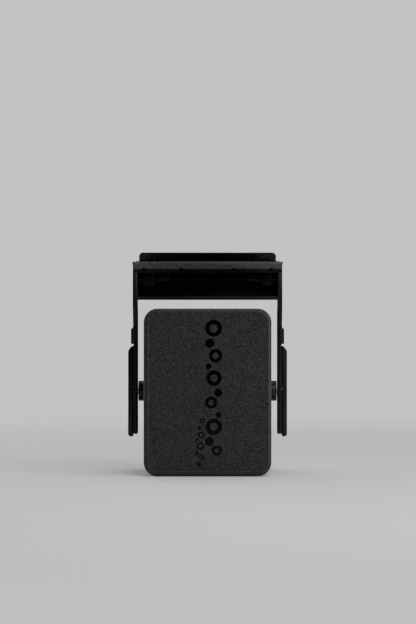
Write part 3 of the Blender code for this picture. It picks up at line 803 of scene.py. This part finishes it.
# %% [markdown]
# ## The blade's slope
# Blade and clamp lie at 38 degrees to the glass. They are easiest to model upright, with the blade's
# tip at the origin and up along Z, and are then leant back and moved to the tip in one transform.
# `slope` gives the same place as Y and Z for the parts of the yoke that meet them.

# %% Slope of the blade
TILT = math.radians(38)
blade_low, blade_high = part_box("scraper_blade")
BLADE_HALF = blade_high.x
BLADE_THICK = 1.2 * MM
BLADE_TALL = 11.5 * MM
BLADE_CORNER, BLADE_BEVEL = 3.0 * MM, 0.45 * MM
SLOT_HALF, SLOT_ROUND = 1.55 * MM, 1.4 * MM
TIP = Vector((0, 0.3 * MM, 90.7 * MM))
SEAT_BACK = -3.5 * MM
SEAT_FRONT = -0.9 * MM
LIP_FRONT = 2.1 * MM
LIP_TOP, LIP_BOTTOM = 11.9 * MM, 14.9 * MM
SEAT_TOP = 7.8 * MM
PEG_X, PEG_DOWN, PEG_RADIUS = 30 * MM, 9.4 * MM, 1.25 * MM
NOTCHES = [side * x * MM for side in (-1, 1) for x in (17.5, 42.0)]
NOTCH_RADIUS, NOTCH_DOWN = 1.4 * MM, 12.1 * MM


def slope(down, proud):
    """Y and Z of a point on the blade's slope: down from the tip, and proud towards the glass."""
    y = TIP.y + down * math.sin(TILT) - proud * math.cos(TILT)
    z = TIP.z - down * math.cos(TILT) - proud * math.sin(TILT)
    return y, z


def lean(piece):
    """Lean an upright piece back by the tilt and move it to the blade's tip."""
    activate(piece)
    piece.rotation_euler.x = TILT
    piece.location = TIP
    bpy.ops.object.transform_apply(location=True, rotation=True, scale=True)
    return piece


print("blade tip at", [round(x / MM, 1) for x in TIP])

# %% [markdown]
# ## The blade
# The blade is a hard plastic strip. Its two working corners are well rounded so that they can't
# scratch a seal, its long edge is ground to a narrow bevel, and two open slots drop over the pegs.
# Slots drawn into the outline would need many points, so rounded blocks are cut from the strip.

# %% Blade
blade = add_block("blade", (-BLADE_HALF, -BLADE_THICK / 2, -BLADE_TALL),
                  (BLADE_HALF, BLADE_THICK / 2, 0))
edit(blade)
pick("EDGE", lambda edge: along(Y)(edge) and edge.verts[0].co.z > -1e-6)
bpy.ops.mesh.bevel(offset=BLADE_CORNER, segments=12, profile=0.5, affect="EDGES")
pick("EDGE", lambda edge: at_level(Y, -BLADE_THICK / 2)(edge)
     and min(corner.co.z for corner in edge.verts) > -BLADE_TALL + 1e-6)
bpy.ops.mesh.bevel(offset=BLADE_BEVEL, segments=1, affect="EDGES")
at_rest()
slots = []
for side in (-1, 1):
    slot_low = (side * PEG_X - SLOT_HALF, -2 * MM, -BLADE_TALL - 1 * MM)
    slot_high = (side * PEG_X + SLOT_HALF, 2 * MM, -SEAT_TOP)
    slot = add_block(f"slot_{side}", slot_low, slot_high)
    edit(slot)
    pick("EDGE", along(Y))
    bpy.ops.mesh.bevel(offset=SLOT_ROUND, segments=6, profile=0.5, affect="EDGES")
    at_rest()
    slots.append(slot)
carve(blade, "DIFFERENCE", slots)
soften(blade, 0.12 * MM, steps=2)
lean(blade)
hand_over(blade, PLASTICS["blade"], "blade", "blade_plastic", "scraper_blade")

# %% [markdown]
# ## The clamp strip
# The strip presses the blade on its seat. Its upper edge ends in two small ears, and four round
# notches in its lower edge let a coin lift it. The notches go on into the yoke's lip, so the same
# posts cut both pieces.


# %% Clamp strip
def notch_posts(front, reach):
    """The four posts that cut the notches, from front and reach deep, still upright."""
    posts = []
    for number, x in enumerate(NOTCHES):
        posts.append(round_post(f"notch_{number}", NOTCH_RADIUS, -front, -front + reach,
                                middle=(x, -NOTCH_DOWN)))
    return posts


CLAMP_BACK, CLAMP_FRONT = -0.9 * MM, -2.4 * MM
CLAMP_TOP, CLAMP_BOTTOM = -6.4 * MM, -11.5 * MM
CLAMP_HALF, EAR_HALF, EAR = 49.0 * MM, 49.9 * MM, 0.6 * MM
clamp_side = [(CLAMP_HALF, CLAMP_BOTTOM), (CLAMP_HALF, CLAMP_TOP - 2 * EAR),
              (EAR_HALF, CLAMP_TOP - EAR), (EAR_HALF, CLAMP_TOP)]
clamp_outline = clamp_side + [(-x, z) for x, z in reversed(clamp_side)]
clamp_strip = drawn("clamp_strip", [(x, CLAMP_FRONT, z) for x, z in clamp_outline],
                    (0, CLAMP_BACK - CLAMP_FRONT, 0))
carve(clamp_strip, "DIFFERENCE", notch_posts(3.5 * MM, 4 * MM))
peg_holes = [round_post(f"peg_hole_{side}", SLOT_HALF, -1.9 * MM, 0,
                        middle=(side * PEG_X, -PEG_DOWN)) for side in (-1, 1)]
carve(clamp_strip, "DIFFERENCE", peg_holes)
soften(clamp_strip, 0.22 * MM, steps=3)
lean(clamp_strip)
hand_over(clamp_strip, PLASTICS["clamp"], "clamp", "clamp_plastic", "blade_clamp")

# %% [markdown]
# ## The yoke
# The yoke is one moulding: a hollow head that carries the blade's seat, and two side arms that turn
# on the float. Head, arms, cheeks, shoulders and catch housings are each drawn as a profile and
# given soft edges of its own, and then they are united. Softening the parts first keeps every edge
# even, where a bevel on the united piece would be held back by its shortest edge.

# %% Yoke sections
yoke_low, yoke_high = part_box("scraper_frame")
ARM_IN, ARM_REBATE, CHEEK_OUT = 46.5 * MM, 49.3 * MM, 49.6 * MM
SHOULDER_LOW, SHOULDER_HIGH = 30.0 * MM, 41.7 * MM
ARM_END_RADIUS, ARM_END_STEPS = 4.0 * MM, 8
PIVOT = Vector((0, 21.0 * MM, -0.9 * MM))
ARM_FRONT, ARM_BACK = PIVOT.y - 8 * MM, PIVOT.y + 8 * MM
HEAD_FRONT, WALL_IN, WALL_OUT = 5.5 * MM, 15.5 * MM, 18.0 * MM
HEAD_LOW, FLOOR_TOP, CEILING = 59.7 * MM, 61.7 * MM, 73.6 * MM
SMALL = 1.0 * MM
# Each catch housing: inner and outer side, lower end and front, in millimetres
HOUSINGS = ((25.2, 35.4, 71.8, 10.6), (36.0, 42.2, 69.2, 9.4))
WINDOW_LOW, WINDOW_HIGH = Vector((31.0, 9.6, 74.1)) * MM, Vector((33.4, 12.6, 75.6)) * MM
CLIP_RISES = (-19 * MM, 19 * MM)


def eased(outline, scale=0.998):
    """An outline shrunk a hair about the head, so that no two parts share a plane."""
    middle_y, middle_z = 12 * MM, 70 * MM
    return [(middle_y + (y - middle_y) * scale, middle_z + (z - middle_z) * scale)
            for y, z in outline]


def yz_profile(name, outline, start_x, end_x):
    """Draw a Y-Z section at start_x and push it to end_x."""
    return drawn(name, [(start_x, y, z) for y, z in outline], (end_x - start_x, 0, 0))


def arm_outline():
    """Section of an arm, from its round lower end to the seat of the blade."""
    radius, steps = ARM_END_RADIUS, ARM_END_STEPS
    outline = []
    for centre, first in ((ARM_BACK - radius, 0), (ARM_FRONT + radius, -90)):
        for step in range(steps + 1):
            turn = math.radians(first - 90 * step / steps)
            outline.append((centre + radius * math.cos(turn),
                            yoke_low.z + radius + radius * math.sin(turn)))
    outline += [(ARM_FRONT, 44.0 * MM), (HEAD_FRONT, 56.0 * MM), (HEAD_FRONT, 70.0 * MM),
                slope(LIP_BOTTOM, LIP_FRONT), slope(LIP_TOP, LIP_FRONT), slope(LIP_TOP, 0.6 * MM),
                slope(SEAT_TOP + SMALL, 0.6 * MM), slope(SEAT_TOP + SMALL, SEAT_BACK + 2.8 * MM),
                slope(SEAT_TOP + 1.8 * MM, SEAT_BACK), (WALL_OUT, 74.5 * MM),
                (25.0 * MM, 62.0 * MM), (ARM_BACK, 50.0 * MM)]
    return outline


def head_outline():
    """Section of the head: seat, lip, sloped ceiling, back wall and floor."""
    meets = (WALL_OUT - TIP.y + SEAT_BACK * math.cos(TILT)) / math.sin(TILT)
    return [slope(SEAT_TOP, SEAT_FRONT), slope(LIP_TOP, SEAT_FRONT), slope(LIP_TOP, LIP_FRONT),
            slope(LIP_BOTTOM, LIP_FRONT), (WALL_IN, CEILING), (WALL_IN, FLOOR_TOP),
            (HEAD_FRONT, FLOOR_TOP), (HEAD_FRONT, HEAD_LOW), (WALL_OUT, HEAD_LOW),
            slope(meets, SEAT_BACK), slope(SEAT_TOP + 1.8 * MM, SEAT_BACK),
            slope(SEAT_TOP, SEAT_BACK + 1.8 * MM)]


def ceiling(y):
    """Height of the sloped ceiling, a little inside its material."""
    lip_y, lip_z = slope(LIP_BOTTOM, LIP_FRONT)
    return lip_z - (y - lip_y) * (lip_z - CEILING) / (WALL_IN - lip_y) + SMALL


print("yoke section:", len(head_outline()), "corners; arm:", len(arm_outline()), "corners")

# %% Yoke
yoke = yz_profile("yoke", head_outline(), -ARM_IN - SMALL, ARM_IN + SMALL)
soften(yoke, 0.4 * MM)
parts = []
cheek_outline = [(y, z) for y, z in arm_outline() if z > SHOULDER_HIGH]
cheek_outline += [(ARM_BACK, SHOULDER_LOW), (ARM_FRONT, SHOULDER_LOW)]
for word, side in (("left", -1), ("right", 1)):
    arm = yz_profile(f"arm_{word}", eased(arm_outline(), 0.9992), side * ARM_IN,
                     side * ARM_REBATE)
    soften(arm, 0.5 * MM)
    parts.append(arm)
    cheek = yz_profile(f"cheek_{word}", eased(cheek_outline), side * (ARM_IN + SMALL),
                       side * CHEEK_OUT)
    soften(cheek, 0.5 * MM)
    parts.append(cheek)
    low = SHOULDER_LOW + 0.4 * MM
    shoulder = [(ARM_IN + SMALL, low), (yoke_high.x, low),
                (yoke_high.x, SHOULDER_HIGH - yoke_high.x + CHEEK_OUT),
                (CHEEK_OUT - 0.4 * MM, SHOULDER_HIGH + 0.4 * MM),
                (ARM_IN + SMALL, SHOULDER_HIGH + 0.4 * MM)]
    shoulder = drawn(f"shoulder_{word}",
                     [(side * x, ARM_FRONT + 0.4 * MM, z) for x, z in shoulder],
                     (0, ARM_BACK - ARM_FRONT - 0.8 * MM, 0))
    soften(shoulder, 0.3 * MM)
    parts.append(shoulder)
    for number, (inner, outer, bottom, front) in enumerate(HOUSINGS):
        front, back = front * MM, WALL_IN + SMALL
        outline = [(front, bottom * MM), (back, bottom * MM), (back, ceiling(back)),
                   (front, ceiling(front))]
        housing = yz_profile(f"housing_{word}_{number}", outline, side * inner * MM,
                             side * outer * MM)
        soften(housing, 0.25 * MM)
        parts.append(housing)
    parts.append(lean(round_post(f"peg_{word}", PEG_RADIUS, -1.6 * MM, -SEAT_FRONT + SMALL,
                                 middle=(side * PEG_X, -PEG_DOWN))))
carve(yoke, "UNION", parts)
print("yoke united:", len(yoke.data.polygons), "faces")

# %% [markdown]
# The holes come last: a bore for each bush, two small holes for each clip's pegs, the window of each
# inner housing and the lower halves of the notches. Their rims stay crisp, as a core pin leaves them.

# %% Holes of the yoke
holes = [lean(post) for post in notch_posts(3.1 * MM, 3.2 * MM)]
for word, side in (("left", -1), ("right", 1)):
    near, far = side * (ARM_IN - SMALL), side * (ARM_REBATE + SMALL)
    holes.append(round_post(f"bore_{word}", 4.3 * MM, near, far, "X", (PIVOT.y, PIVOT.z)))
    for rise in CLIP_RISES:
        holes.append(round_post(f"clip_hole_{word}_{rise > 0}", 1.8 * MM, near, far, "X",
                                (PIVOT.y, PIVOT.z + rise)))
    low, high = WINDOW_LOW.copy(), WINDOW_HIGH.copy()
    low.x, high.x = sorted((side * low.x, side * high.x))
    holes.append(add_block(f"window_{word}", low, high))
carve(yoke, "DIFFERENCE", holes)
hand_over(yoke, PLASTICS["yoke"], "scraper", "yoke_plastic", "scraper_frame")

# %% [markdown]
# ## The side clips and the hubs
# A clip is a solid bar that covers the pivot. Its upper end has a long chamfer, which a thumb slides
# over, and its lower end a short one. Two pegs behind it snap into the arm. Each hub is a round boss
# on the float with a low foot ring, where the mould has a fillet.


# %% Side clips
CLIP_CHAMFER, CLIP_LOW_CHAMFER = (2.2 * MM, 3.0 * MM), 1.2 * MM
HUB_RADIUS, SOCKET_RADIUS, SOCKET_DEEP = 6.8 * MM, 2.6 * MM, 3.6 * MM


def side_clip(word, side):
    """A bar with chamfered ends and two pegs on its back."""
    low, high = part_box(f"side_clip_{word}")
    inner = ARM_REBATE + 0.3 * MM
    outer = max(abs(low.x), abs(high.x))
    top_in, top_down = CLIP_CHAMFER
    section = [(inner, low.z), (outer - CLIP_LOW_CHAMFER, low.z), (outer, low.z + CLIP_LOW_CHAMFER),
               (outer, high.z - top_down), (outer - top_in, high.z), (inner, high.z)]
    clip = drawn(f"clip_{word}", [(side * x, low.y, z) for x, z in section],
                 (0, high.y - low.y, 0))
    pegs = []
    for rise in CLIP_RISES:
        pegs.append(round_post(f"clip_peg_{word}_{rise > 0}", 1.5 * MM, side * (ARM_IN + 0.7 * MM),
                               side * (inner + SMALL), "X", (PIVOT.y, PIVOT.z + rise)))
    carve(clip, "UNION", pegs)
    room = round_post(f"head_room_{word}", 4.7 * MM, side * (inner - SMALL),
                      side * (inner + 1.6 * MM), "X", (PIVOT.y, PIVOT.z))
    carve(clip, "DIFFERENCE", [room])
    soften(clip, 0.45 * MM, steps=4)
    return clip


def hub(word, side):
    """A round boss with a foot ring and a blind socket for the pin."""
    low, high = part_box(f"pivot_hub_{word}")
    start, end = (high.x, low.x) if side < 0 else (low.x, high.x)
    boss = round_post(f"hub_{word}", HUB_RADIUS, start, end, "X", (PIVOT.y, PIVOT.z))
    edit(boss)
    pick("FACE", at_level(X, end))
    bpy.ops.mesh.inset(thickness=HUB_RADIUS - SOCKET_RADIUS)
    bpy.ops.mesh.extrude_region_move(TRANSFORM_OT_translate={"value": (-side * SOCKET_DEEP, 0, 0)})
    pick("FACE", at_level(X, end))
    bpy.ops.mesh.inset(thickness=1.1 * MM)
    bpy.ops.mesh.inset(thickness=0.3 * MM, depth=-0.25 * MM)
    at_rest()
    soften(boss, 0.3 * MM, steps=3)
    return boss


for word, side in (("left", -1), ("right", 1)):
    hand_over(side_clip(word, side), PLASTICS["clip"], "scraper", "clip_plastic",
              f"side_clip_{word}")
    hand_over(hub(word, side), PLASTICS["float_case"], "wet_half", "float_case_plastic",
              f"pivot_hub_{word}")

# %% [markdown]
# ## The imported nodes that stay
# Magnets, plates, cradles, pins and bushes already have the right shape. They keep their
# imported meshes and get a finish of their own.

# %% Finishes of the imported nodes
KEPT = {
    "wet_seal_gasket": PLASTICS["seal"],
    **{f"pivot_pin_{side}": METALS["pin"] for side in ("left", "right")},
    **{f"pivot_bush_{side}": PLASTICS["bush"] for side in ("left", "right")},
}
for half in ("dry", "wet"):
    KEPT[f"{half}_yoke_plate"] = METALS["zinc"]
    KEPT[f"{half}_magnet_cradle"] = PLASTICS["cradle"]
    for level in ("lower", "upper"):
        KEPT[f"{half}_magnet_{level}"] = METALS["ferrite"]
for node, material in KEPT.items():
    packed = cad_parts[node]
    packed.data.materials.clear()
    packed.data.materials.append(material)
print("kept nodes:", len(KEPT))

# %% [markdown]
# ## The stage, the lights and the camera
# The camera looks straight at the dry half's face from far off with a long lens. The floor is pale
# and fades into an even pale backdrop, so there is no edge behind the object. Black plastic shows
# what it mirrors more than its own colour, so the sky's light is weak behind the camera, which keeps
# the blade deep black and, with the painted shade in its colour, the recess too. Soft boxes at the
# sides, above and behind draw the rims.

# %% Stage
FLOOR_Z = CAD_LOW.z
FLOOR_FADED = 0.90
BACKDROP, SKY_LIGHT, FLAG_LIGHT = 0.95, 0.45, 0.03


def make_floor():
    """A pale disc that fades out towards its rim."""
    at_rest()
    bpy.ops.mesh.primitive_circle_add(
        vertices=96, radius=FLOOR_FADED + 0.05, fill_type="NGON", location=(0, 0, FLOOR_Z - 0.2 * MM))
    floor = bpy.context.active_object
    floor.name = "studio_floor"
    pale = Finish("pale_floor", Roughness=0.85, Specular_IOR_Level=0.2)
    reach = pale.node("ShaderNodeVectorMath", {"operation": "LENGTH"}, {0: pale.place()}, output=1)
    mottle = pale.cloud(0.05, detail=3.0)
    pale.feed("Base Color", pale.blend(mottle, (0.72, 0.73, 0.74, 1), (0.76, 0.77, 0.78, 1)))
    pale.feed("Alpha", 1 - pale.step(reach, 0.28, FLOOR_FADED))
    floor.data.materials.append(pale.material)
    floor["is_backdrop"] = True


def make_world():
    """An even pale backdrop; the light that it gives is weaker from behind the camera."""
    world = bpy.data.worlds.new("studio")
    bpy.context.scene.world = world
    world.use_nodes = True
    nodes, links = world.node_tree.nodes, world.node_tree.links
    direction = nodes.new("ShaderNodeTexCoord")
    split = nodes.new("ShaderNodeSeparateXYZ")
    flag = nodes.new("ShaderNodeMapRange")
    flag.interpolation_type = "SMOOTHSTEP"
    for number, value in enumerate((-0.95, 0.10, FLAG_LIGHT, SKY_LIGHT), start=1):
        flag.inputs[number].default_value = value
    seen = nodes.new("ShaderNodeLightPath")
    choice = nodes.new("ShaderNodeMix")
    choice.inputs[3].default_value = BACKDROP
    background = nodes["Background"]
    background.inputs[0].default_value = (0.98, 0.99, 1.0, 1)
    links.new(direction.outputs["Generated"], split.inputs[0])
    links.new(split.outputs["Y"], flag.inputs[0])
    links.new(seen.outputs["Is Camera Ray"], choice.inputs[0])
    links.new(flag.outputs[0], choice.inputs[2])
    links.new(choice.outputs[0], background.inputs[1])


make_floor()
make_world()
print("floor at", round(FLOOR_Z / MM, 1), "mm")


# %% Lights and camera
MIDDLE, FOREGROUND = (0, 0, 0.02), (0, -0.14, FLOOR_Z)
# Each soft box: place, spot it points at, size (all in metres) and power in watts
SOFTBOXES = {
    "right_softbox": ((0.85, -0.50, 0.30), MIDDLE, (0.5, 0.8), 7.0),
    "left_softbox": ((-0.95, 0.10, 0.35), MIDDLE, (0.3, 0.6), 1.6),
    "top_softbox": ((0.10, 0.35, 0.90), MIDDLE, (0.7, 0.4), 2.4),
    "back_softbox": ((-0.50, 1.00, 0.45), MIDDLE, (0.7, 0.7), 3.0),
    "floor_softbox": ((0.15, -0.45, 0.45), FOREGROUND, (0.3, 0.3), 1.5),
}
CAMERA_DISTANCE = 1.5
CAMERA_SIDE, CAMERA_HEIGHT = 0.3 * MM, 51.7 * MM
FRAME_HEIGHT = 401.2 * MM
SENSOR = 36.0


def add_softbox(name, place, aim, size, power):
    """A rectangular soft light that points at a spot."""
    at_rest()
    bpy.ops.object.light_add(type="AREA", location=place)
    light = bpy.context.active_object
    light.name = name
    light.data.shape = "RECTANGLE"
    light.data.size, light.data.size_y = size
    light.data.energy = power
    light.rotation_euler = (Vector(aim) - Vector(place)).to_track_quat("-Z", "Y").to_euler()


for name, settings in SOFTBOXES.items():
    add_softbox(name, *settings)
at_rest()
bpy.ops.object.camera_add(location=(CAMERA_SIDE, CAD_LOW.y - CAMERA_DISTANCE, CAMERA_HEIGHT),
                          rotation=(math.radians(90), 0, 0))
camera = bpy.context.active_object
camera.data.sensor_width = SENSOR
camera.data.lens = SENSOR * CAMERA_DISTANCE / FRAME_HEIGHT
bpy.context.scene.camera = camera
print(len(SOFTBOXES), "soft boxes; lens", round(camera.data.lens), "mm")

# %% Write the sizes and finish
low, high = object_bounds()
print("finished model:", [round(x / MM, 1) for x in high - low], "mm")
